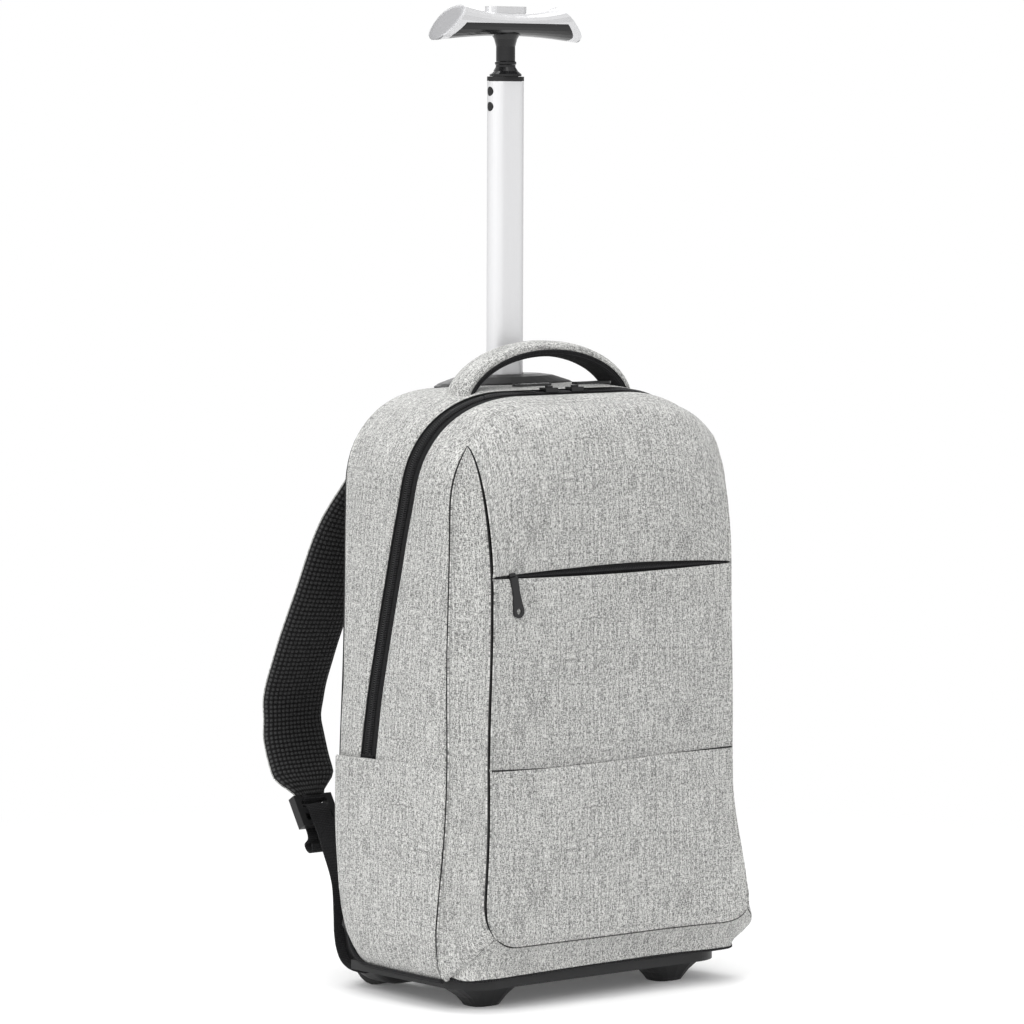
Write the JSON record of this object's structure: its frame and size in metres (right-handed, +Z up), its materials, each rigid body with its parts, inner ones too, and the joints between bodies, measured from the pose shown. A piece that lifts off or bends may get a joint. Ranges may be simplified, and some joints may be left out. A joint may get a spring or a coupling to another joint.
{
  "type": "rolling laptop backpack",
  "caption": "Soft box backpack on wheels for a laptop, with a telescopic T-grip pole, a zipped front flap, front and side pockets, a grab handle and padded shoulder straps.",
  "frame": {"origin": "on the floor under the middle of the whole part", "axes": "+Z up, +X to the right as seen from the front, -Y the front with the pockets, +Y the back with the shoulder straps"},
  "size_m": [0.305, 0.2921, 0.8201],
  "materials": {
    "heather_fabric": "light grey heather polyester, matt, flecked",
    "lining_fabric": "black woven lining",
    "air_mesh": "black knitted air mesh, padded",
    "webbing": "black ribbed webbing",
    "zip_tape": "black zip tape with a nylon coil",
    "black_plastic": "black moulded plastic, fine grain",
    "gloss_black": "black, glossy",
    "tube_aluminium": "silver anodised, satin",
    "grip_silver": "silver painted plastic, satin",
    "steel": "bright steel",
    "tyre": "black soft plastic tyre"
  },
  "bodies": {
    "bag": {"rear_gusset": "heather_fabric", "pocket_box_lower": "heather_fabric", "slip_pocket": "heather_fabric", "grab_handle": "heather_fabric", "lower_side_panel_left": "heather_fabric", "lower_side_panel_right": "heather_fabric", "side_pocket_left": "heather_fabric", "side_pocket_right": "heather_fabric", "bottom_panel": "lining_fabric", "back_lining": "lining_fabric", "laptop_sleeve": "lining_fabric", "back_panel": "air_mesh", "shoulder_strap_left": "air_mesh", "shoulder_strap_right": "air_mesh", "lower_webbing_left": "webbing", "lower_webbing_right": "webbing", "main_zip_rear_tape": "zip_tape", "base_tray": "black_plastic", "outer_tube_guide": "black_plastic", "tube_foot_bracket": "black_plastic", "top_plate": "black_plastic", "back_frame_sheet": "black_plastic", "front_foot_left": "black_plastic", "front_foot_right": "black_plastic", "wheel_housing_left": "black_plastic", "wheel_housing_right": "black_plastic", "ladder_lock_left": "black_plastic", "ladder_lock_right": "black_plastic", "outer_tube": "tube_aluminium", "wheel_axle_left": "steel", "wheel_axle_right": "steel"},
    "front_flap": {"front_gusset": "heather_fabric", "main_zip_front_tape": "zip_tape", "front_panel_upper": "heather_fabric", "front_panel_middle": "heather_fabric", "pocket_lining": "lining_fabric", "pocket_zip_upper_tape": "zip_tape", "pocket_zip_lower_tape": "zip_tape"},
    "pocket_slider": {"pocket_slider": "gloss_black"},
    "pocket_tab": {"pocket_pull_tab": "gloss_black"},
    "main_slider_left": {"main_slider_left": "gloss_black"},
    "main_slider_right": {"main_slider_right": "gloss_black"},
    "main_tab_left": {"main_pull_tab_left": "gloss_black"},
    "main_tab_right": {"main_pull_tab_right": "gloss_black"},
    "lower_stage": {"mid_tube": "tube_aluminium", "mid_tube_bushing": "black_plastic", "mid_lock_block": "black_plastic"},
    "upper_stage": {"inner_tube": "tube_aluminium", "handle_neck": "gloss_black", "grip_lower_shell": "gloss_black", "grip_upper_shell": "grip_silver", "inner_lock_block": "black_plastic", "button_spring": "steel"},
    "button": {"push_button": "grip_silver", "push_rod": "steel"},
    "lock_pin": {"inner_lock_pin": "steel"},
    "wheel_left": {"wheel_hub_left": "black_plastic", "wheel_tyre_left": "tyre"},
    "wheel_right": {"wheel_hub_right": "black_plastic", "wheel_tyre_right": "tyre"}
  },
  "joints": [
    {"name": "lower_stage_slide", "type": "slide", "parent": "bag", "child": "lower_stage", "axis": [0, 0, 1], "range_m": [-0.24, 0]},
    {"name": "upper_stage_slide", "type": "slide", "parent": "lower_stage", "child": "upper_stage", "axis": [0, 0, 1], "range_m": [0, 0.24]},
    {"name": "button_press", "type": "slide", "parent": "upper_stage", "child": "button", "axis": [0, 0, -1], "range_m": [0, 0.003], "stiffness_N_per_m": 800, "springref_m": -0.003, "deforming": ["button_spring"]},
    {"name": "lock_pin_slide", "type": "slide", "parent": "upper_stage", "child": "lock_pin", "axis": [1, 0, 0], "range_m": [0, 0.003]},
    {"name": "wheel_left_spin", "type": "hinge", "parent": "bag", "child": "wheel_left", "pos_m": [-0.1, 0.038, 0.028], "axis": [1, 0, 0], "continuous": true},
    {"name": "wheel_right_spin", "type": "hinge", "parent": "bag", "child": "wheel_right", "pos_m": [0.1, 0.038, 0.028], "axis": [1, 0, 0], "continuous": true},
    {"name": "front_flap_fold", "type": "hinge", "parent": "bag", "child": "front_flap", "pos_m": [0, -0.1422, 0.2], "axis": [1, 0, 0], "range_deg": [0, 45]},
    {"name": "pocket_slider_slide", "type": "slide", "parent": "front_flap", "child": "pocket_slider", "axis": [1, 0, 0], "range_m": [0, 0.218]},
    {"name": "pocket_tab_swing", "type": "hinge", "parent": "pocket_slider", "child": "pocket_tab", "pos_m": [-0.109, -0.145, 0.3563], "axis": [0, 1, 0], "range_deg": [-60, 80]},
    {"name": "main_slider_left_slide", "type": "slide", "parent": "bag", "child": "main_slider_left", "axis": [-1, 0, 0], "range_m": [0, 0.03]},
    {"name": "main_slider_right_slide", "type": "slide", "parent": "bag", "child": "main_slider_right", "axis": [1, 0, 0], "range_m": [0, 0.03]},
    {"name": "main_tab_left_flip", "type": "hinge", "parent": "main_slider_left", "child": "main_tab_left", "pos_m": [-0.014, -0.0752, 0.5067], "axis": [0, 1, 0], "range_deg": [0, 100]},
    {"name": "main_tab_right_flip", "type": "hinge", "parent": "main_slider_right", "child": "main_tab_right", "pos_m": [0.014, -0.0752, 0.5067], "axis": [0, -1, 0], "range_deg": [0, 100]}
  ],
  "couplings": [
    {"joint": "lock_pin_slide", "follows": "button_press", "ratio": 1}
  ]
}
